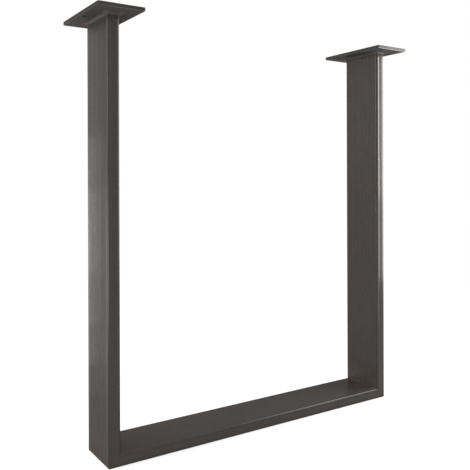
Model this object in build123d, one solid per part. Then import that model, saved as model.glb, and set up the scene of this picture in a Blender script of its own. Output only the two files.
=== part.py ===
from build123d import *
import os

# A sled table leg: a U of flat rectangular steel tube, mitred and welded at the floor, with a steel
# plate welded across the top of each upright so that the leg can be screwed under a table top.
# X runs along the floor rail, Y across the wide side of the tube and Z up. The origin is on the
# floor, under the middle of the rail. All sizes are in millimetres.

# Whole leg
LEG_HEIGHT = 710.0  # floor to the top of the plates
LEG_WIDTH = 600.0  # over the outer faces of the uprights

# Rectangular tube
TUBE_WIDE = 90.0
TUBE_NARROW = 20.0
TUBE_WALL = 2.0
TUBE_INNER_RADIUS = 2.0  # inside the rolled edges

# Floor corners
GROUND_RADIUS = 2.5  # outer edge of each mitre, eased as its weld is ground flush
CORNER_WELD_LEG = 2.0  # bead left standing in the inner angle of each mitre

# Mounting plates
PLATE_WIDTH = 77.0  # along the rail
PLATE_DEPTH = 155.0  # across the rail
PLATE_THICKNESS = 6.0
PLATE_CORNER_RADIUS = 1.0
PLATE_EDGE_BREAK = 0.5  # burr taken off the outlines
PLATE_WELD_LEG = 3.5  # bead between a plate's underside and its upright
SCREW_HOLE_DIAMETER = 7.0
SCREW_EDGE_DISTANCE = 8.5  # hole centre to the nearest long edge of the plate

# Worked out from the sizes above
TUBE_OUTER_RADIUS = TUBE_INNER_RADIUS + TUBE_WALL
UPRIGHT_X = LEG_WIDTH / 2 - TUBE_NARROW / 2  # middle of the right-hand upright
UPRIGHT_TOP = LEG_HEIGHT - PLATE_THICKNESS  # where the tube butts against its plate
SCREW_X = PLATE_WIDTH / 2 - SCREW_EDGE_DISTANCE  # hole centre from the middle of the plate

SIDES = {"left": -1, "right": 1}


def tube_outline():
    """Outside of the tube's section, narrow side along X and wide side along Y."""
    return RectangleRounded(TUBE_NARROW, TUBE_WIDE, TUBE_OUTER_RADIUS)


def tube_section():
    """Hollow section of the tube, with one wall thickness all round."""
    inside_narrow = TUBE_NARROW - 2 * TUBE_WALL
    inside_wide = TUBE_WIDE - 2 * TUBE_WALL
    return tube_outline() - RectangleRounded(inside_narrow, inside_wide, TUBE_INNER_RADIUS)


def mitre_plane(side):
    """Plane of the 45 degree joint at one end of the rail, facing up the upright."""
    return Plane(origin=(side * LEG_WIDTH / 2, 0, 0), x_dir=(0, 1, 0), z_dir=(side, 0, 1))


def ground_strip(side):
    """Sliver that grinding takes off the sharp outer edge of a mitre."""
    middle = GROUND_RADIUS / 2
    blank = Box(GROUND_RADIUS, TUBE_WIDE, GROUND_RADIUS)
    rounding = Rot(90, 0, 0) * Cylinder(GROUND_RADIUS, TUBE_WIDE)
    sliver = blank - Pos(-side * middle, 0, middle) * rounding
    return Pos(side * (LEG_WIDTH / 2 - middle), 0, middle) * sliver


def upright(side):
    """Tube from the mitre at the floor up to the underside of its plate."""
    tube = extrude(Pos(side * UPRIGHT_X, 0) * tube_section(), UPRIGHT_TOP)
    return split(tube, bisect_by=mitre_plane(side), keep=Keep.TOP) - ground_strip(side)


def floor_rail():
    """Tube that lies on the floor, mitred at both ends."""
    end = Plane(origin=(-LEG_WIDTH / 2, 0, TUBE_NARROW / 2), x_dir=(0, 0, 1), z_dir=(1, 0, 0))
    tube = extrude(end * tube_section(), LEG_WIDTH)
    for side in SIDES.values():
        tube = split(tube, bisect_by=mitre_plane(side), keep=Keep.BOTTOM) - ground_strip(side)
    return tube


def corner_weld(side):
    """Fillet weld in the inner angle of a mitre, along the flat of the tube's wide side."""
    angle = Pos(side * (LEG_WIDTH / 2 - TUBE_NARROW), 0, TUBE_NARROW)
    bead = Polygon((0, 0), (-side * CORNER_WELD_LEG, 0), (0, CORNER_WELD_LEG), align=None)
    flat = TUBE_WIDE - 2 * TUBE_OUTER_RADIUS
    return angle * extrude(Plane.XZ * bead, flat / 2, both=True)


def mounting_plate(side):
    """Plate that spreads the load under the table top, with a screw hole each side of the tube."""
    plate = extrude(RectangleRounded(PLATE_WIDTH, PLATE_DEPTH, PLATE_CORNER_RADIUS), PLATE_THICKNESS)
    plate = chamfer(plate.faces().filter_by(Axis.Z).edges(), PLATE_EDGE_BREAK)
    hole = extrude(Circle(SCREW_HOLE_DIAMETER / 2), PLATE_THICKNESS)
    plate -= [Pos(way * SCREW_X, 0) * hole for way in SIDES.values()]
    return Pos(side * UPRIGHT_X, 0, UPRIGHT_TOP) * plate


def plate_weld(side):
    """Fillet weld all round the top of an upright, widening from the tube to the plate."""
    toe = Pos(0, 0, -PLATE_WELD_LEG) * tube_outline()
    spread = 2 * PLATE_WELD_LEG
    foot = RectangleRounded(TUBE_NARROW + spread, TUBE_WIDE + spread, TUBE_OUTER_RADIUS + PLATE_WELD_LEG)
    bead = loft([toe, foot], ruled=True) - extrude(tube_outline(), -PLATE_WELD_LEG)
    return Pos(side * UPRIGHT_X, 0, UPRIGHT_TOP) * bead


parts = {"floor_rail": floor_rail()}
for name, side in SIDES.items():
    parts[f"{name}_upright"] = upright(side)
    parts[f"{name}_corner_weld"] = corner_weld(side)
    parts[f"{name}_mounting_plate"] = mounting_plate(side)
    parts[f"{name}_plate_weld"] = plate_weld(side)

os.makedirs("parts", exist_ok=True)
for node, piece in parts.items():
    export_step(piece, f"parts/{node}.step")
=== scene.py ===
import math
import random

import bpy
from bpy.props import FloatProperty, FloatVectorProperty, IntProperty, PointerProperty
from mathutils import Matrix, Vector


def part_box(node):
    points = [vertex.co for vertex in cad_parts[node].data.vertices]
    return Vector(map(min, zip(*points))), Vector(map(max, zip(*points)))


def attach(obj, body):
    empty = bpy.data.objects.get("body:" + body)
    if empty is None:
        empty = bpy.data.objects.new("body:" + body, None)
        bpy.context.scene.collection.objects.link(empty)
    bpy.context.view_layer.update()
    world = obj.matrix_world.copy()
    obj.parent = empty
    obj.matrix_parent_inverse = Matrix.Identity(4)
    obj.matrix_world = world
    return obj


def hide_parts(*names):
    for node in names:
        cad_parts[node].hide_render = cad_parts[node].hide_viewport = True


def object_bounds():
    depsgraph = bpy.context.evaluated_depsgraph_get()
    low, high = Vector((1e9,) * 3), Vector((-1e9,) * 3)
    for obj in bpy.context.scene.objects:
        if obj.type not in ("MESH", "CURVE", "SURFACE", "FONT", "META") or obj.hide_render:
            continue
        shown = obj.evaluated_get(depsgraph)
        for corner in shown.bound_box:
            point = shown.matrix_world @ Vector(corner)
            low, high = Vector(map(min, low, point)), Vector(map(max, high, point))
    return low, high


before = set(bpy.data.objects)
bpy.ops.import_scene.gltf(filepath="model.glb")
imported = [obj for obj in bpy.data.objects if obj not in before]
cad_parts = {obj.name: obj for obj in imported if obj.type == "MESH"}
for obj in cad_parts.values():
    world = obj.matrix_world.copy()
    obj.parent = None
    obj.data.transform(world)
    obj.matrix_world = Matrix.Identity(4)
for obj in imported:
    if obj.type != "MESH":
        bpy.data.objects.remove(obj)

# Looks of a sled table leg: lacquered raw steel on the tubes and plates, rippled weld beads in
# place of the plain ones, and a white studio seen from the photograph's viewpoint.

bl_info = {
    "name": "Sled table leg",
    "version": (1, 0, 0),
    "blender": (4, 5, 0),
    "location": "View3D > Sidebar > Table leg",
    "description": "Finishes a welded steel sled leg and sets up its studio",
    "category": "Object",
}

MM = 0.001
CAD_LOW, CAD_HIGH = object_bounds()

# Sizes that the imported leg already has
UPRIGHT_LOW, UPRIGHT_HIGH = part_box("left_upright")
PLATE_WELD_LOW, PLATE_WELD_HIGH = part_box("left_plate_weld")
CORNER_WELD_LOW, CORNER_WELD_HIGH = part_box("left_corner_weld")

TUBE_NARROW = UPRIGHT_HIGH.x - UPRIGHT_LOW.x
TUBE_WIDE = UPRIGHT_HIGH.y - UPRIGHT_LOW.y
UPRIGHT_TOP = UPRIGHT_HIGH.z
UPRIGHT_X = -(UPRIGHT_LOW.x + UPRIGHT_HIGH.x) / 2
LEG_HALF_WIDTH = -UPRIGHT_LOW.x
PLATE_WELD_LEG = PLATE_WELD_HIGH.z - PLATE_WELD_LOW.z
CORNER_WELD_LEG = CORNER_WELD_HIGH.z - CORNER_WELD_LOW.z
CORNER_WELD_LENGTH = CORNER_WELD_HIGH.y - CORNER_WELD_LOW.y

# Share of bare metal in each surface, and its roughness where it is smoothest and roughest
FACE_METALLIC = 0.3  # the tube's faces are part mill scale and part metal
PLATE_METALLIC = 0.15
SAWN_METALLIC = 0.9
WELD_METALLIC = 0.35
TUBE_ROUGHNESS = 0.18, 0.32
PLATE_ROUGHNESS = 0.22, 0.34
WELD_ROUGHNESS = 0.22, 0.40

# Depth of the fine relief that catches the light
TUBE_RELIEF = 0.04 * MM
PLATE_RELIEF = 0.1 * MM

# Proportions in the finish of the steel, and in the light painted on it
STREAK_LINES = 6  # fine lines in the width of a broad band
FLOOR_EDGE_SHARE = 0.15  # of the edges' lighter colour, burnish and painted highlight, left at the floor
BAND_FADE = 1.4  # of the highlight band's full height, at which the painted highlight has faded out
BAND_BLUR = 0.15  # of the highlight band's width, each way from its border
LEFT_MITRE_SHARE = 0.2  # of the heat tint and its painted fill light, at the left mitre
SAWN_HIGHLIGHT = 0.4  # of the lighter arris colour, a painted highlight, over a plate's sawn ends
BRUSHED_CREST = 0.6  # tone from which a weld ripple shows its full crest colour
SOOT_LOW, SOOT_HIGH = 0.3, 0.7  # specks between which a weld goes from smooth to rough


def linear(hex_colour):
    """Linear RGB of an sRGB hex colour."""
    parts = [int(hex_colour[i:i + 2], 16) / 255 for i in (1, 3, 5)]
    return tuple(c / 12.92 if c <= 0.04045 else ((c + 0.055) / 1.055) ** 2.4 for c in parts)


class LegSteelSettings(bpy.types.PropertyGroup):
    """Colours and grain of the lacquered steel, with the highlights and fill light painted on it."""

    tube_dark: FloatVectorProperty(
        name="Tube, dark", description="Darker tone of the drawn tube", subtype="COLOR",
        min=0, max=1, default=linear("#3D3937"))
    tube_light: FloatVectorProperty(
        name="Tube, light", description="Lighter tone of the drawn tube", subtype="COLOR",
        min=0, max=1, default=linear("#413C39"))
    # Lighter colour of the rolled edges: partly burnished steel, partly a painted highlight
    tube_edge_and_sheen: FloatVectorProperty(
        name="Tube, edge", description="Burnished edges of the drawn tube, lightened further as a painted highlight", subtype="COLOR",
        min=0, max=1, default=linear("#4E4A47"))
    # Heat tint, lighter than the tube, so that it also paints fill light into the shade round the welds
    heat_tint_and_fill: FloatVectorProperty(
        name="Heat tint and fill", description="Steel beside a weld, browned by its heat and lightened as painted fill light in the shade there",
        subtype="COLOR", min=0, max=1, default=linear("#504541"))
    plate_dark: FloatVectorProperty(
        name="Plate, dark", description="Darker tone of the hot-rolled plate", subtype="COLOR",
        min=0, max=1, default=linear("#373533"))
    plate_light: FloatVectorProperty(
        name="Plate, light", description="Lighter tone of the hot-rolled plate", subtype="COLOR",
        min=0, max=1, default=linear("#3C3937"))
    # Lighter arris colours along the plate's edges, painted highlights
    plate_edge_highlight: FloatVectorProperty(
        name="Plate, edge", description="Lighter arrises of the plate, a painted highlight", subtype="COLOR",
        min=0, max=1, default=linear("#464341"))
    sawn_edge_highlight: FloatVectorProperty(
        name="Plate, sawn edge", description="Arrises of the plate's sawn ends, bare metal lightened as a painted highlight", subtype="COLOR",
        min=0, max=1, default=linear("#5A5754"))
    weld_dark: FloatVectorProperty(
        name="Weld, valley", description="Weld metal between the ripples", subtype="COLOR",
        min=0, max=1, default=linear("#3C3733"))
    weld_light: FloatVectorProperty(
        name="Weld, crest", description="Weld metal on top of the ripples", subtype="COLOR",
        min=0, max=1, default=linear("#4B4540"))
    edge_tint: FloatVectorProperty(
        name="Edge tint", description="Reflection left at a grazing angle", subtype="COLOR",
        min=0, max=1, default=linear("#C8C8C8"))
    streak_width: FloatProperty(
        name="Streak width", description="Width of the drawing streaks", unit="LENGTH",
        default=7 * MM, min=0.1 * MM)
    streak_length: FloatProperty(
        name="Streak length", description="Length of the drawing streaks", unit="LENGTH",
        default=900 * MM, min=1 * MM)
    mottle_size: FloatProperty(
        name="Mottle size", description="Size of the mill-scale patches", unit="LENGTH",
        default=28 * MM, min=1 * MM)
    speckle_size: FloatProperty(
        name="Speckle size", description="Size of the soot specks on the welds", unit="LENGTH",
        default=2 * MM, min=0.1 * MM)
    tube_burnish: FloatProperty(
        name="Tube burnish", description="Width of the shiny band beside a rolled edge", unit="LENGTH",
        default=3.5 * MM, min=0.1 * MM)
    # Height below which the edges' painted highlight and burnish are weaker
    edge_fade_height: FloatProperty(
        name="Edge fade height", description="Height above the floor up to which the edges' burnish and painted highlight are weaker",
        unit="LENGTH", default=150 * MM, min=1 * MM)
    # A painted highlight band on the faces beside a rolled edge, low on the leg
    highlight_band_width: FloatProperty(
        name="Highlight band width", description="Width of the painted highlight band on a face beside a rolled edge",
        unit="LENGTH", default=8 * MM, min=0.1 * MM)
    highlight_band_height: FloatProperty(
        name="Highlight band height", description="Height above the floor up to which the faces carry the painted highlight band",
        unit="LENGTH", default=340 * MM, min=1 * MM)
    # Width of the band along a plate's edges: bare metal on the sawn ends, lighter as a painted highlight
    plate_arris_band: FloatProperty(
        name="Plate arris band", description="Width of the band along a plate's edges, bare on the sawn ends and lightened as a painted highlight", unit="LENGTH",
        default=1.1 * MM, min=0.1 * MM)
    # Reach of the heat tint, which is also painted fill light in the shade of the mitres and plates
    corner_heat_and_fill: FloatProperty(
        name="Corner heat and fill", description="Reach of the heat tint and its painted fill light round a mitre's inner angle", unit="LENGTH",
        default=42 * MM, min=0.1 * MM)
    plate_heat_and_fill: FloatProperty(
        name="Plate heat and fill", description="Reach of the heat tint and its painted fill light beside a plate weld", unit="LENGTH",
        default=10 * MM, min=0.1 * MM)


class LegWeldSettings(bpy.types.PropertyGroup):
    """Shape of the weld beads."""

    tube_edge_radius: FloatProperty(
        name="Tube edge radius", description="Rounded outer edge of the tube", unit="LENGTH",
        default=4 * MM, min=0.1 * MM)
    ripple_pitch: FloatProperty(
        name="Ripple pitch", description="Distance between weld ripples", unit="LENGTH",
        default=2.9 * MM, min=0.5 * MM)
    ripple_height: FloatProperty(
        name="Ripple height", description="Rise of a ripple over its valleys", unit="LENGTH",
        default=0.45 * MM, min=0)
    crescent: FloatProperty(
        name="Crescent", description="How far a ripple bows along the bead", unit="LENGTH",
        default=1.1 * MM, min=0)
    seed: IntProperty(
        name="Seed", description="Picks the unevenness of the ripples", default=7)


class LegStageSettings(bpy.types.PropertyGroup):
    """Camera and studio."""

    floor_colour: FloatVectorProperty(
        name="Floor", description="Colour of the studio floor", subtype="COLOR",
        min=0, max=1, default=linear("#FFFFFF"))
    floor_glow: FloatProperty(
        name="Floor glow", description="Share of the floor that shows as lit paper and takes no shadow",
        subtype="FACTOR", default=0.75, min=0, max=1)
    camera_place: FloatVectorProperty(
        name="Camera place", description="Where the camera stands", subtype="TRANSLATION",
        unit="LENGTH", default=(-677 * MM, -965 * MM, 445 * MM))
    camera_turn: FloatProperty(
        name="Camera turn", description="Turn of the view from +Y towards +X", subtype="ANGLE",
        default=math.radians(33.07))
    camera_roll: FloatProperty(
        name="Camera roll", description="Tilt of the camera about its view", subtype="ANGLE",
        default=math.radians(-0.18))
    camera_lens: FloatProperty(
        name="Lens", description="Focal length in millimetres on a 36 mm sensor", default=48.77)
    camera_shift: FloatVectorProperty(
        name="Lens shift", description="Rise of the lens that keeps the uprights upright", size=2,
        default=(0.0119, -0.1169))


X_AXIS, WIDE_AXIS, Z_AXIS = range(3)  # the tube's wide side lies along the second
NOISE_LOW, NOISE_HIGH = 0.35, 0.65  # most values of a noise lie between these

# Inputs of a node that mixes two colours, and of one that maps a range to another
MIX_SHARE, MIX_FROM, MIX_TO = 0, 6, 7
VALUE, LOW, HIGH, TO_LOW, TO_HIGH = range(5)


def add(tree, kind, inputs=None, **settings):
    """Adds a node with its settings. An input takes a value, a socket, or a node for its result."""
    node = tree.nodes.new(kind)
    for key, value in settings.items():
        setattr(node, key, value)
    for key, value in (inputs or {}).items():
        if isinstance(value, bpy.types.Node):
            value = next(socket for socket in value.outputs if socket.enabled)
        if isinstance(value, bpy.types.NodeSocket):
            tree.links.new(value, node.inputs[key])
        else:
            node.inputs[key].default_value = value
    return node


def new_material(name):
    """An empty node material, its tree, and the place of a point on the object."""
    material = bpy.data.materials.new(name)
    material.use_nodes = True
    tree = material.node_tree
    tree.nodes.clear()
    return material, tree, add(tree, "ShaderNodeTexCoord").outputs["Object"]


def off_middle(tree, place, node, axis):
    """How far a point is from the middle of a node, or of its mirrored twin, along one axis, and
    half of the node's size there."""
    low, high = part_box(node)
    part = add(tree, "ShaderNodeSeparateXYZ", {"Vector": place}).outputs[axis]
    away = add(tree, "ShaderNodeMath", {0: part}, operation="ABSOLUTE")
    away = add(tree, "ShaderNodeMath", {0: away, 1: abs(low[axis] + high[axis]) / 2}, operation="SUBTRACT")
    away = add(tree, "ShaderNodeMath", {0: away}, operation="ABSOLUTE")
    return away, (high[axis] - low[axis]) / 2


def drawing_streaks(tree, place, along):
    """Broad bands and fine lines that drawing leaves along a tube. The lines of a real tube are
    finer than a millimetre, and are drawn as coarse as they need to show."""
    steel = bpy.context.scene.leg_steel
    streaks = []
    for finer in (1, STREAK_LINES):
        scale = [finer / steel.streak_width] * 3
        scale[along] = finer / steel.streak_length
        mapped = add(tree, "ShaderNodeMapping", {"Vector": place, "Scale": scale})
        streaks.append(add(tree, "ShaderNodeTexNoise", {
            "Vector": mapped, "Scale": 1.0, "Detail": 2.0, "Roughness": 0.55}))
    return streaks


def rolled_edges(tree, place, node, thin):
    """Two shares that are both 1 on a tube's rolled edges: one grows along its thin side, and one
    round the edge from its wide face."""
    radius = bpy.context.scene.leg_weld.tube_edge_radius
    burnish_and_sheen = bpy.context.scene.leg_steel.tube_burnish
    away, half_thin = off_middle(tree, place, node, thin)
    flat = half_thin - radius
    across = add(tree, "ShaderNodeMapRange", {
        VALUE: away, LOW: flat - burnish_and_sheen, HIGH: flat - burnish_and_sheen / 2}, interpolation_type="SMOOTHSTEP")
    away, half_wide = off_middle(tree, place, node, WIDE_AXIS)
    depth = add(tree, "ShaderNodeMapRange", {
        VALUE: away, LOW: half_wide - radius, HIGH: half_wide - radius / 2}, interpolation_type="SMOOTHSTEP")
    return across, depth


def edge_wear_and_sheen(tree, place, node, across, depth, burnish_and_sheen, highlight_band):
    """Share of the lighter edge colour on a tube: on its rolled edges, where it is partly burnish and partly
    a painted highlight, and a painted highlight band on the faces beside them low on the leg. Both are weaker
    near the floor."""
    steel = bpy.context.scene.leg_steel
    radius = bpy.context.scene.leg_weld.tube_edge_radius
    away, half_wide = off_middle(tree, place, node, WIDE_AXIS)
    height = add(tree, "ShaderNodeSeparateXYZ", {"Vector": place}).outputs["Z"]
    front = add(tree, "ShaderNodeMapRange", {
        VALUE: away, LOW: half_wide - radius / 2, HIGH: half_wide - radius / 10, TO_HIGH: burnish_and_sheen},
        interpolation_type="SMOOTHSTEP")
    # A painted highlight band beside the rolled edges, full up to a height and fading above it
    band_by_height = add(tree, "ShaderNodeMapRange", {
        VALUE: height, LOW: steel.highlight_band_height, HIGH: steel.highlight_band_height * BAND_FADE, TO_LOW: highlight_band, TO_HIGH: 0.0})
    start = half_wide - radius - steel.highlight_band_width
    blur = BAND_BLUR * steel.highlight_band_width
    beside = add(tree, "ShaderNodeMapRange", {
        VALUE: away, LOW: start - blur, HIGH: start + blur, TO_HIGH: band_by_height}, interpolation_type="SMOOTHSTEP")
    beside = add(tree, "ShaderNodeMath", {0: beside, 1: depth}, operation="SUBTRACT", use_clamp=True)
    wear_and_sheen = add(tree, "ShaderNodeMath", {0: front, 1: beside}, operation="MAXIMUM")
    wear_and_sheen = add(tree, "ShaderNodeMath", {0: across, 1: wear_and_sheen}, operation="MULTIPLY")
    # The edges' painted highlight and burnish weaken towards the floor
    floor_fade = add(tree, "ShaderNodeMapRange", {VALUE: height, HIGH: steel.edge_fade_height, TO_LOW: FLOOR_EDGE_SHARE})
    return add(tree, "ShaderNodeMath", {0: wear_and_sheen, 1: floor_fade}, operation="MULTIPLY")


def weld_heat_and_fill(tree, place, depth, mottle):
    """How far heat has browned a tube round the inner angle of a mitre, most at the right one, and
    beside the plate at its top. The tint is lighter than the tube, so it is also painted fill light in the
    shade there. The limits of the tint are ragged."""
    steel = bpy.context.scene.leg_steel
    spot = add(tree, "ShaderNodeSeparateXYZ", {"Vector": place}).outputs
    angle = (LEG_HALF_WIDTH - TUBE_NARROW, 0, TUBE_NARROW)
    corner = add(tree, "ShaderNodeVectorMath", {0: place}, operation="ABSOLUTE")
    corner = add(tree, "ShaderNodeVectorMath", {0: corner, 1: angle}, operation="SUBTRACT")
    corner = add(tree, "ShaderNodeVectorMath", {0: corner, 1: (1, 0, 1)}, operation="MULTIPLY")
    corner = add(tree, "ShaderNodeVectorMath", {0: corner}, operation="LENGTH")
    corner = add(tree, "ShaderNodeMath", {
        0: depth, 1: steel.corner_heat_and_fill, 2: corner}, operation="MULTIPLY_ADD")
    top = add(tree, "ShaderNodeMath", {0: UPRIGHT_TOP, 1: spot["Z"]}, operation="SUBTRACT")
    heats_and_fills = []
    for away, reach in ((corner, steel.corner_heat_and_fill), (top, steel.plate_heat_and_fill)):
        ragged = add(tree, "ShaderNodeMath", {0: mottle, 1: reach, 2: away}, operation="MULTIPLY_ADD")
        heats_and_fills.append(add(tree, "ShaderNodeMapRange", {
            VALUE: ragged, LOW: reach / 2, HIGH: reach * 1.5, TO_LOW: 1.0, TO_HIGH: 0.0},
            interpolation_type="SMOOTHSTEP"))
    toward_right_mitre = add(tree, "ShaderNodeMapRange", {
        VALUE: spot["X"], LOW: -LEG_HALF_WIDTH, HIGH: LEG_HALF_WIDTH, TO_LOW: LEFT_MITRE_SHARE, TO_HIGH: 1.0})
    heats_and_fills[0] = add(tree, "ShaderNodeMath", {0: heats_and_fills[0], 1: toward_right_mitre}, operation="MULTIPLY")
    return heats_and_fills


def drawn_tube_steel(name, node, along, thin, shine, burnish_and_sheen, highlight_band=0.0):
    """Cold-drawn steel tube under a satin clear lacquer. It is a warm dark grey between bare metal
    and mill scale, whose gloss is broken into long bands and lines along the tube. Its rolled edges
    are as metallic as shine says and as light as the edge share given, which is partly burnish and partly a
    painted highlight; a painted highlight band lightens the faces beside them low on the leg; and the heat of
    the welds has dulled and browned the steel, in a tint light enough to paint fill light into the shade
    round the welds."""
    steel = bpy.context.scene.leg_steel
    material, tree, place = new_material(name)
    bands, lines = drawing_streaks(tree, place, along)
    mottle = add(tree, "ShaderNodeTexNoise", {
        "Vector": place, "Scale": 1 / steel.mottle_size, "Detail": 4.0, "Roughness": 0.6})
    across, depth = rolled_edges(tree, place, node, thin)
    wear_and_sheen = edge_wear_and_sheen(tree, place, node, across, depth, burnish_and_sheen, highlight_band)
    corner_heat_and_fill, top_heat_and_fill = weld_heat_and_fill(tree, place, depth, mottle)

    bare = add(tree, "ShaderNodeMath", {0: across, 1: depth}, operation="MULTIPLY")
    bare = add(tree, "ShaderNodeMath", {0: bare, 1: top_heat_and_fill}, operation="SUBTRACT", use_clamp=True)
    metallic = add(tree, "ShaderNodeMapRange", {VALUE: bare, TO_LOW: FACE_METALLIC, TO_HIGH: shine})

    tone = add(tree, "ShaderNodeMath", {0: mottle, 1: lines}, operation="ADD")
    tone = add(tree, "ShaderNodeMapRange", {
        VALUE: tone, LOW: 2 * NOISE_LOW, HIGH: 2 * NOISE_HIGH}, interpolation_type="SMOOTHSTEP")
    # Heat tint, also painted fill light in the shade of the mitres and under the plate
    heat = add(tree, "ShaderNodeMath", {0: corner_heat_and_fill, 1: top_heat_and_fill}, operation="MAXIMUM")
    colour = add(tree, "ShaderNodeMix", {
        MIX_SHARE: tone, MIX_FROM: (*steel.tube_dark, 1), MIX_TO: (*steel.tube_light, 1)}, data_type="RGBA")
    colour = add(tree, "ShaderNodeMix", {
        MIX_SHARE: heat, MIX_FROM: colour, MIX_TO: (*steel.heat_tint_and_fill, 1)}, data_type="RGBA")
    # Lighter edges: partly burnish, partly a painted highlight; the band beside them is a painted highlight
    colour = add(tree, "ShaderNodeMix", {
        MIX_SHARE: wear_and_sheen, MIX_FROM: colour, MIX_TO: (*steel.tube_edge_and_sheen, 1)}, data_type="RGBA")

    smooth, rough = TUBE_ROUGHNESS
    gloss = add(tree, "ShaderNodeMapRange", {
        VALUE: bands, LOW: NOISE_LOW, HIGH: NOISE_HIGH, TO_LOW: smooth, TO_HIGH: rough},
        interpolation_type="SMOOTHSTEP")
    relief = add(tree, "ShaderNodeBump", {"Height": lines, "Strength": 0.1, "Distance": TUBE_RELIEF})
    shader = add(tree, "ShaderNodeBsdfPrincipled", {
        "Base Color": colour, "Metallic": metallic, "Roughness": gloss, "Specular IOR Level": 0.0,
        "Specular Tint": (*steel.edge_tint, 1), "Normal": relief})
    add(tree, "ShaderNodeOutputMaterial", {"Surface": shader})
    return material


def hot_rolled_plate_steel(name, node):
    """Hot-rolled flat bar under a satin clear lacquer. It is a little darker and blotchier than the
    tube, with no grain direction. Its sawn ends are bare metal, its arrises are lightened as a painted
    highlight, and the weld's heat has browned it round the tube in a tint that also paints fill light into
    the shade there."""
    steel = bpy.context.scene.leg_steel
    material, tree, place = new_material(name)
    mottle = add(tree, "ShaderNodeTexNoise", {
        "Vector": place, "Scale": 1 / steel.mottle_size, "Detail": 6.0, "Roughness": 0.65})

    near = []
    ring = []
    for axis, tube_half in enumerate((TUBE_NARROW / 2, TUBE_WIDE / 2, 0)):
        away, half = off_middle(tree, place, node, axis)
        near.append(add(tree, "ShaderNodeMapRange", {
            VALUE: away, LOW: half - steel.plate_arris_band, HIGH: half - steel.plate_arris_band / 3},
            interpolation_type="SMOOTHSTEP"))
        reach = steel.plate_heat_and_fill
        ragged = add(tree, "ShaderNodeMath", {0: mottle, 1: reach, 2: away}, operation="MULTIPLY_ADD")
        ring.append(add(tree, "ShaderNodeMapRange", {
            VALUE: ragged, LOW: tube_half + reach / 2, HIGH: tube_half + reach * 1.5,
            TO_LOW: 1.0, TO_HIGH: 0.0}, interpolation_type="SMOOTHSTEP"))
    sides = add(tree, "ShaderNodeMath", {0: near[0], 1: near[1]}, operation="MAXIMUM")
    corner = add(tree, "ShaderNodeMath", {0: near[0], 1: near[1]}, operation="MULTIPLY")
    rim = add(tree, "ShaderNodeMath", {0: sides, 1: near[2]}, operation="MULTIPLY")
    arris_highlight = add(tree, "ShaderNodeMath", {0: rim, 1: corner}, operation="MAXIMUM")
    ends = add(tree, "ShaderNodeMath", {0: near[1], 1: SAWN_HIGHLIGHT}, operation="MULTIPLY")
    arris_highlight = add(tree, "ShaderNodeMath", {0: arris_highlight, 1: ends}, operation="MAXIMUM")
    sawn = add(tree, "ShaderNodeMath", {0: near[1], 1: near[2]}, operation="MULTIPLY")
    height = add(tree, "ShaderNodeSeparateXYZ", {"Vector": place}).outputs["Z"]
    under = add(tree, "ShaderNodeMapRange", {
        VALUE: height, LOW: UPRIGHT_TOP, HIGH: CAD_HIGH.z, TO_LOW: 1.0, TO_HIGH: 0.0})
    # Heat ring round the tube, also painted fill light in the shade under the plate
    heat = add(tree, "ShaderNodeMath", {0: ring[0], 1: ring[1]}, operation="MULTIPLY")
    heat = add(tree, "ShaderNodeMath", {0: heat, 1: under}, operation="MULTIPLY")

    tone = add(tree, "ShaderNodeMapRange", {
        VALUE: mottle, LOW: NOISE_LOW, HIGH: NOISE_HIGH}, interpolation_type="SMOOTHSTEP")
    colour = add(tree, "ShaderNodeMix", {
        MIX_SHARE: tone, MIX_FROM: (*steel.plate_dark, 1), MIX_TO: (*steel.plate_light, 1)}, data_type="RGBA")
    # Lighter arrises are a painted highlight, and so is the lighter colour on the sawn ends' arrises
    colour = add(tree, "ShaderNodeMix", {
        MIX_SHARE: arris_highlight, MIX_FROM: colour, MIX_TO: (*steel.plate_edge_highlight, 1)}, data_type="RGBA")
    colour = add(tree, "ShaderNodeMix", {
        MIX_SHARE: sawn, MIX_FROM: colour, MIX_TO: (*steel.sawn_edge_highlight, 1)}, data_type="RGBA")
    colour = add(tree, "ShaderNodeMix", {
        MIX_SHARE: heat, MIX_FROM: colour, MIX_TO: (*steel.heat_tint_and_fill, 1)}, data_type="RGBA")
    metallic = add(tree, "ShaderNodeMapRange", {
        VALUE: near[1], TO_LOW: PLATE_METALLIC, TO_HIGH: SAWN_METALLIC})
    smooth, rough = PLATE_ROUGHNESS
    gloss = add(tree, "ShaderNodeMapRange", {VALUE: tone, TO_LOW: rough, TO_HIGH: smooth})
    relief = add(tree, "ShaderNodeBump", {"Height": mottle, "Strength": 0.2, "Distance": PLATE_RELIEF})
    shader = add(tree, "ShaderNodeBsdfPrincipled", {
        "Base Color": colour, "Metallic": metallic, "Roughness": gloss, "Specular IOR Level": 0.0,
        "Specular Tint": (*steel.edge_tint, 1), "Normal": relief})
    add(tree, "ShaderNodeOutputMaterial", {"Surface": shader})
    return material


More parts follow.
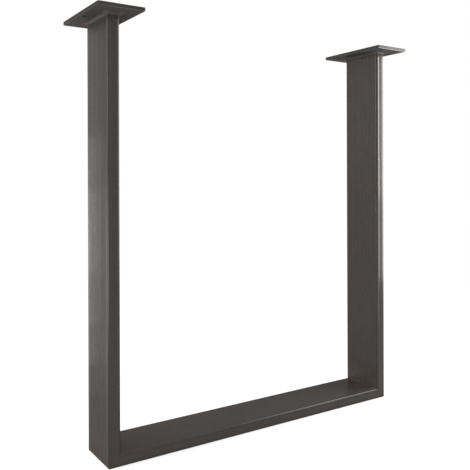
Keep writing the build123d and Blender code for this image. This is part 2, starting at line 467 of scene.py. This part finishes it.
def brushed_weld_metal(name, crest_colour):
    """Weld metal that was wire-brushed before the lacquer. Where the brush reached, its crests are
    brighter than the steel beside it, and soot stays in the valleys between the ripples."""
    steel = bpy.context.scene.leg_steel
    material, tree, place = new_material(name)
    crest = add(tree, "ShaderNodeAttribute", attribute_name="crest").outputs["Fac"]
    speckle = add(tree, "ShaderNodeTexNoise", {
        "Vector": place, "Scale": 1 / steel.speckle_size, "Detail": 3.0, "Roughness": 0.6})
    tone = add(tree, "ShaderNodeMath", {0: crest, 1: speckle}, operation="MULTIPLY")
    tone = add(tree, "ShaderNodeMapRange", {
        VALUE: tone, HIGH: BRUSHED_CREST}, interpolation_type="SMOOTHSTEP")
    colour = add(tree, "ShaderNodeMix", {
        MIX_SHARE: tone, MIX_FROM: (*steel.weld_dark, 1), MIX_TO: (*crest_colour, 1)}, data_type="RGBA")
    smooth, rough = WELD_ROUGHNESS
    gloss = add(tree, "ShaderNodeMapRange", {
        VALUE: speckle, LOW: SOOT_LOW, HIGH: SOOT_HIGH, TO_LOW: smooth, TO_HIGH: rough},
        interpolation_type="SMOOTHSTEP")
    shader = add(tree, "ShaderNodeBsdfPrincipled", {
        "Base Color": colour, "Metallic": WELD_METALLIC, "Roughness": gloss, "Specular IOR Level": 0.0,
        "Specular Tint": (*steel.edge_tint, 1)})
    add(tree, "ShaderNodeOutputMaterial", {"Surface": shader})
    return material


def studio_paper(name):
    """White studio paper lit from within as well as from outside: matt, with no sheen, and only a
    faint shadow where the rail stands on it."""
    stage = bpy.context.scene.leg_stage
    material, tree, _ = new_material(name)
    rays = add(tree, "ShaderNodeLightPath").outputs
    seen = add(tree, "ShaderNodeMath", {0: rays["Is Camera Ray"], 1: rays["Is Glossy Ray"]}, operation="ADD")
    seen = add(tree, "ShaderNodeMath", {
        0: seen, 1: rays["Is Transmission Ray"]}, operation="ADD", use_clamp=True)
    glow = add(tree, "ShaderNodeMath", {0: seen, 1: stage.floor_glow}, operation="MULTIPLY")
    paper = add(tree, "ShaderNodeBsdfDiffuse", {"Color": (*stage.floor_colour, 1)})
    light = add(tree, "ShaderNodeEmission", {"Color": (*stage.floor_colour, 1), "Strength": 1.0})
    mixed = add(tree, "ShaderNodeMixShader", {0: glow, 1: paper, 2: light})
    add(tree, "ShaderNodeOutputMaterial", {"Surface": mixed})
    return material


def give(node, material):
    """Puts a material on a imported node."""
    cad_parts[node].material_slots[0].material = material


RIPPLES = 8  # uneven ripples that are modelled before the bead repeats them
RIPPLE_ROWS = 6  # rows of points along each ripple
RIPPLE_SPREAD = 0.6, 1.2  # lowest and highest ripple, as shares of the ripple height
FACE_STRIPS = 8  # strips across the face of a bead
TOE = 0.03  # share of a bead's leg that stays square at its toes
CROWN = 0.36  # roundness of a bead's face, where 0.25 is flat and 0.5 is a quarter circle
SINK = 0.1 * MM  # how far a bead is set into the steel behind it
CRATER = (1.4, 0.9, 0.5, 0.1)  # shares of a ripple at which the open end of a bead steps down
CRATER_SHRINK = 0.78  # size of each of those steps beside the one before
TUBE_EDGE_STEPS = 8  # steps round a rolled edge in the path of a plate weld
SMOOTH_ANGLE = math.radians(50)  # edges sharper than this stay crisp
NEAR = 0.01 * MM  # points closer than this are one point


def select_points(piece, test):
    """Selects the points of a mesh whose place passes a test, and leaves it in edit mode."""
    bpy.ops.object.mode_set(mode="EDIT")
    bpy.ops.mesh.select_mode(type="VERT")
    bpy.ops.mesh.select_all(action="DESELECT")
    bpy.ops.object.mode_set(mode="OBJECT")
    for point in piece.data.vertices:
        point.select = test(point.co)
    bpy.ops.object.mode_set(mode="EDIT")


def apply_modifier(piece, kind, **settings):
    """Adds a modifier to the active piece and applies it."""
    modifier = piece.modifiers.new(kind.lower(), kind)
    for key, value in settings.items():
        setattr(modifier, key, value)
    bpy.ops.object.modifier_apply(modifier=modifier.name)


def bead_stretch(leg, pitch):
    """A few uneven ripples of fillet weld along X, open at both ends. The root of the weld is on
    the X axis, with one leg out along +Y and the other down along -Z."""
    weld = bpy.context.scene.leg_weld
    length = RIPPLES * pitch
    bpy.ops.object.select_all(action="DESELECT")
    bpy.ops.mesh.primitive_cube_add(size=1, location=(length / 2, leg / 2, -leg / 2))
    bead = bpy.context.object
    bead.scale = (length, leg, leg)
    bpy.ops.object.transform_apply()
    select_points(bead, lambda p: p.y > leg - NEAR and p.z < NEAR - leg)
    bpy.ops.mesh.bevel(offset=leg * (1 - TOE), segments=FACE_STRIPS, profile=CROWN, affect="EDGES")
    for end in (0, length):
        select_points(bead, lambda p: abs(p.x - end) < NEAR)
        bpy.ops.mesh.delete(type="ONLY_FACE")
    bpy.ops.mesh.select_mode(type="EDGE")
    bpy.ops.mesh.select_all(action="DESELECT")
    bpy.ops.object.mode_set(mode="OBJECT")
    for edge in bead.data.edges:
        start, stop = (bead.data.vertices[i].co.x for i in edge.vertices)
        edge.select = abs(start - stop) > NEAR
    bpy.ops.object.mode_set(mode="EDIT")
    bpy.ops.mesh.subdivide(number_cuts=RIPPLES * RIPPLE_ROWS - 1)

    step = pitch / RIPPLE_ROWS
    uneven = random.Random(weld.seed)
    crest = {}
    for ripple in range(RIPPLES):
        rise = weld.ripple_height * uneven.uniform(*RIPPLE_SPREAD)
        for row in range(1, RIPPLE_ROWS):
            x = (ripple * RIPPLE_ROWS + row) * step
            crest[ripple * RIPPLE_ROWS + row] = wave = math.sin(math.pi * row / RIPPLE_ROWS)
            grow = 1 + rise * wave / leg
            select_points(bead, lambda p: abs(p.x - x) < step / 4)
            bpy.ops.transform.resize(value=(1, grow, grow), center_override=(0, 0, 0))
    bpy.ops.object.mode_set(mode="OBJECT")
    rows = [round(point.co.x / step) for point in bead.data.vertices]
    bead.data.attributes.new("crest", "FLOAT", "POINT").data.foreach_set(
        "value", [crest.get(row, 0.0) for row in rows])

    for strip in range(1, FACE_STRIPS):
        part = strip / FACE_STRIPS
        low, high = (part - 0.5 / FACE_STRIPS, part + 0.5 / FACE_STRIPS)
        select_points(bead, lambda p: p.y > 0.5 * NEAR and low < math.atan2(-p.z, p.y) / (math.pi / 2) < high)
        bpy.ops.transform.translate(value=(4 * part * (1 - part) * weld.crescent, 0, 0))
    bpy.ops.object.mode_set(mode="OBJECT")
    return bead


def turned_copy():
    """A copy of the selected piece, with its own mesh, at the other end of the leg."""
    bpy.ops.object.duplicate()
    bpy.ops.transform.rotate(value=math.pi, orient_axis="Z", center_override=(0, 0, 0))
    return bpy.context.object


def finish_bead(bead, node, metal):
    """Fixes a bead in place of its plain one."""
    bpy.ops.object.select_all(action="DESELECT")
    bead.select_set(True)
    bpy.context.view_layer.objects.active = bead
    bead.name = f"{node}_bead"
    bpy.ops.object.transform_apply()
    bpy.ops.object.shade_smooth_by_angle(angle=SMOOTH_ANGLE)
    bead.data.materials.clear()
    bead.data.materials.append(metal)
    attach(bead, "root")
    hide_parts(node)


class LEG_OT_finish_tubes(bpy.types.Operator):
    """Give the uprights and the rail their lacquered steel."""

    bl_idname = "leg.finish_tubes"
    bl_label = "Finish tubes"

    def execute(self, context):
        # The lighter edges and the band beside them are painted highlights, set stronger or weaker for each
        # tube
        give("left_upright", drawn_tube_steel(
            "drawn_left_tube", "left_upright", along=Z_AXIS, thin=X_AXIS, shine=1.0, burnish_and_sheen=0.5, highlight_band=0.7))
        give("right_upright", drawn_tube_steel(
            "drawn_right_tube", "right_upright", along=Z_AXIS, thin=X_AXIS, shine=0.95, burnish_and_sheen=1.0))
        give("floor_rail", drawn_tube_steel(
            "drawn_floor_tube", "floor_rail", along=X_AXIS, thin=Z_AXIS, shine=0.6, burnish_and_sheen=0.0))
        return {"FINISHED"}


class LEG_OT_finish_plates(bpy.types.Operator):
    """Give the mounting plates their lacquered steel."""

    bl_idname = "leg.finish_plates"
    bl_label = "Finish plates"

    def execute(self, context):
        plate = hot_rolled_plate_steel("hot_rolled_plate", "left_mounting_plate")
        give("left_mounting_plate", plate)
        give("right_mounting_plate", plate)
        return {"FINISHED"}


class LEG_OT_model_plate_welds(bpy.types.Operator):
    """Model the rippled fillet weld round the top of each upright."""

    bl_idname = "leg.model_plate_welds"
    bl_label = "Model plate welds"

    def execute(self, context):
        weld = context.scene.leg_weld
        bpy.ops.object.select_all(action="DESELECT")
        bpy.ops.mesh.primitive_plane_add(size=1)
        path = context.object
        path.scale = (TUBE_NARROW - 2 * SINK, TUBE_WIDE - 2 * SINK, 1)
        bpy.ops.object.transform_apply()
        bpy.ops.object.mode_set(mode="EDIT")
        bpy.ops.mesh.select_all(action="SELECT")
        bpy.ops.mesh.bevel(
            offset=weld.tube_edge_radius - SINK, segments=TUBE_EDGE_STEPS, affect="VERTICES")
        bpy.ops.mesh.delete(type="ONLY_FACE")
        bpy.ops.object.mode_set(mode="OBJECT")
        points = path.data.vertices
        length = sum((points[a].co - points[b].co).length for a, b in path.data.edge_keys)
        bpy.ops.object.convert(target="CURVE")
        path = context.object
        spots = [point.co for point in path.data.splines[0].points]
        if sum(a.x * b.y - a.y * b.x for a, b in zip(spots, spots[1:])) > 0:
            bpy.ops.object.mode_set(mode="EDIT")
            bpy.ops.curve.select_all(action="SELECT")
            bpy.ops.curve.switch_direction()
            bpy.ops.object.mode_set(mode="OBJECT")

        repeats = round(length / (RIPPLES * weld.ripple_pitch))
        ring = bead_stretch(PLATE_WELD_LEG + SINK, length / repeats / RIPPLES)
        apply_modifier(
            ring, "ARRAY", count=repeats, use_relative_offset=False, use_constant_offset=True,
            constant_offset_displace=(length / repeats, 0, 0), use_merge_vertices=True, merge_threshold=NEAR)
        apply_modifier(ring, "CURVE", object=path, deform_axis="POS_X")
        bpy.ops.object.mode_set(mode="EDIT")
        bpy.ops.mesh.select_all(action="SELECT")
        bpy.ops.mesh.remove_doubles(threshold=2 * NEAR)
        bpy.ops.mesh.normals_make_consistent(inside=False)
        bpy.ops.object.mode_set(mode="OBJECT")
        bpy.ops.transform.translate(value=(-UPRIGHT_X, 0, UPRIGHT_TOP + SINK))
        metal = brushed_weld_metal("plate_weld_metal", context.scene.leg_steel.weld_light)
        twin = turned_copy()
        finish_bead(ring, "left_plate_weld", metal)
        finish_bead(twin, "right_plate_weld", metal)
        bpy.data.objects.remove(path)
        return {"FINISHED"}


class LEG_OT_model_corner_welds(bpy.types.Operator):
    """Model the rippled fillet weld in the inner angle of each mitre."""

    bl_idname = "leg.model_corner_welds"
    bl_label = "Model corner welds"

    def execute(self, context):
        weld = context.scene.leg_weld
        repeats = round(CORNER_WELD_LENGTH / (RIPPLES * weld.ripple_pitch))
        stretch = CORNER_WELD_LENGTH / repeats
        bead = bead_stretch(CORNER_WELD_LEG + SINK, stretch / RIPPLES)
        apply_modifier(
            bead, "ARRAY", count=repeats, use_relative_offset=False, use_constant_offset=True,
            constant_offset_displace=(stretch, 0, 0), use_merge_vertices=True, merge_threshold=NEAR)
        for end, way in ((0, 1), (CORNER_WELD_LENGTH, -1)):
            for share in CRATER:
                select_points(bead, lambda p: way * (p.x - end) < stretch / RIPPLES * share)
                bpy.ops.transform.resize(value=(1, CRATER_SHRINK, CRATER_SHRINK), center_override=(0, 0, 0))
        bpy.ops.mesh.select_all(action="SELECT")
        bpy.ops.mesh.fill_holes(sides=0)
        bpy.ops.mesh.normals_make_consistent(inside=False)
        bpy.ops.object.mode_set(mode="OBJECT")
        bpy.ops.transform.translate(value=(-CORNER_WELD_LENGTH / 2, -SINK, SINK))
        bpy.ops.object.transform_apply()
        bead.rotation_euler = (math.pi, 0, math.pi / 2)
        bpy.ops.object.transform_apply()
        bpy.ops.transform.translate(value=(CORNER_WELD_LOW.x, 0, CORNER_WELD_LOW.z))
        metal = brushed_weld_metal("corner_weld_metal", context.scene.leg_steel.tube_light)
        twin = turned_copy()
        finish_bead(bead, "left_corner_weld", metal)
        finish_bead(twin, "right_corner_weld", metal)
        return {"FINISHED"}


FLOOR_SIZE = 40  # metres
FLOOR_DROP = 0.2 * MM  # keeps the floor off the rail's underside
SENSOR_WIDTH = 36  # of the camera, in millimetres
LAMP_COLOUR = "#F4FCFF"
# Soft lamps: name, place, aim, width and height in metres, and brightness beside the white studio
LAMPS = (
    ("left_panel", (-0.385, 0.28, 0.41), (-0.30, 0.0, 0.41), 0.055, 0.68, 3.5),
    ("left_strip", (-0.361, 0.28, 0.34), (-0.30, 0.0, 0.34), 0.045, 0.39, 8.5),
    ("left_core", (-0.355, 0.28, 0.34), (-0.30, 0.0, 0.34), 0.045, 0.17, 10.0),
    ("left_low", (-0.385, 0.28, 0.07), (-0.30, 0.0, 0.10), 0.08, 0.12, 1.2),
    ("left_side", (-0.90, 0.10, 0.25), (-0.30, 0.0, 0.32), 0.35, 0.30, 6.0),
    ("left_box", (-1.50, 0.80, 0.90), (0.0, 0.0, 0.50), 0.5, 0.6, 11.0),
    ("inner_panel", (-0.25, 0.60, 0.75), (0.29, 0.0, 0.55), 0.3, 0.6, 0.6),
    ("right_panel", (0.58, -0.32, 0.63), (0.29, -0.05, 0.63), 0.10, 0.46, 8.2),
    ("right_low", (0.58, -0.32, 0.29), (0.29, -0.05, 0.29), 0.10, 0.22, 4.2),
    ("right_top", (0.58, -0.32, 0.95), (0.29, -0.05, 0.75), 0.10, 0.18, 7.0),
    ("right_side", (0.68, -0.17, 0.54), (0.29, -0.05, 0.54), 0.23, 0.72, 9.0),
    ("front_strip", (0.45, -0.41, 0.46), (0.29, -0.05, 0.46), 0.08, 0.76, 4.2),
    ("edge_box", (1.00, -0.55, 1.20), (0.1, 0.0, 0.0), 0.4, 0.4, 3.5),
    ("overhead_box", (0.40, 0.0, 2.00), (0.0, 0.0, 0.0), 1.2, 1.2, 0.4),
)


class LEG_OT_build_stage(bpy.types.Operator):
    """Build the white studio and set the camera."""

    bl_idname = "leg.build_stage"
    bl_label = "Build stage"

    def execute(self, context):
        stage = context.scene.leg_stage
        scene = context.scene
        bpy.ops.object.select_all(action="DESELECT")
        bpy.ops.mesh.primitive_plane_add(size=FLOOR_SIZE, location=(0, 0, -FLOOR_DROP))
        floor = context.object
        floor.name = "studio_floor"
        floor.data.materials.append(studio_paper("studio_paper"))

        world = bpy.data.worlds.new("white_studio")
        world.use_nodes = True
        world.node_tree.nodes.clear()
        sky = add(world.node_tree, "ShaderNodeBackground", {"Color": (1, 1, 1, 1), "Strength": 1.0})
        add(world.node_tree, "ShaderNodeOutputWorld", {"Surface": sky})
        scene.world = world

        for name, place, aim, width, height, brightness in LAMPS:
            lamp = bpy.data.lights.new(name, "AREA")
            lamp.shape = "RECTANGLE"
            lamp.size = width
            lamp.size_y = height
            lamp.energy = brightness * math.pi * width * height
            lamp.color = linear(LAMP_COLOUR)
            stand = bpy.data.objects.new(name, lamp)
            stand.location = place
            stand.rotation_euler = (Vector(aim) - Vector(place)).to_track_quat("-Z", "Y").to_euler()
            stand.visible_camera = False
            scene.collection.objects.link(stand)

        camera = bpy.data.cameras.new("photo_camera")
        camera.sensor_width = SENSOR_WIDTH
        camera.lens = stage.camera_lens
        camera.shift_x, camera.shift_y = stage.camera_shift
        viewer = bpy.data.objects.new("photo_camera", camera)
        turn = Matrix.Rotation(-stage.camera_turn, 4, "Z") @ Matrix.Rotation(math.pi / 2, 4, "X")
        roll = Matrix.Rotation(stage.camera_roll, 4, "Z")
        viewer.matrix_world = Matrix.Translation(stage.camera_place) @ turn @ roll
        scene.collection.objects.link(viewer)
        scene.camera = viewer
        scene.view_settings.view_transform = "Standard"
        return {"FINISHED"}


class LEG_PT_panel(bpy.types.Panel):
    """Sidebar panel with the steps that dress the leg, and its sizes and colours."""

    bl_idname = "LEG_PT_panel"
    bl_label = "Sled table leg"
    bl_space_type = "VIEW_3D"
    bl_region_type = "UI"
    bl_category = "Table leg"

    def draw(self, context):
        for operator in OPERATORS:
            self.layout.operator(operator.bl_idname)
        for name, group in SETTINGS.items():
            box = self.layout.box()
            for setting in group.__annotations__:
                box.prop(getattr(context.scene, name), setting)


SETTINGS = {"leg_steel": LegSteelSettings, "leg_weld": LegWeldSettings, "leg_stage": LegStageSettings}
OPERATORS = (
    LEG_OT_finish_tubes, LEG_OT_finish_plates,
    LEG_OT_model_plate_welds, LEG_OT_model_corner_welds, LEG_OT_build_stage)
CLASSES = (*SETTINGS.values(), *OPERATORS, LEG_PT_panel)


def register():
    for cls in CLASSES:
        bpy.utils.register_class(cls)
    for name, group in SETTINGS.items():
        setattr(bpy.types.Scene, name, PointerProperty(type=group))


def unregister():
    for name in SETTINGS:
        delattr(bpy.types.Scene, name)
    for cls in reversed(CLASSES):
        bpy.utils.unregister_class(cls)


def main():
    register()
    bpy.ops.leg.finish_tubes()
    bpy.ops.leg.finish_plates()
    bpy.ops.leg.model_plate_welds()
    bpy.ops.leg.model_corner_welds()
    bpy.ops.leg.build_stage()


if __name__ == "__main__":
    main()
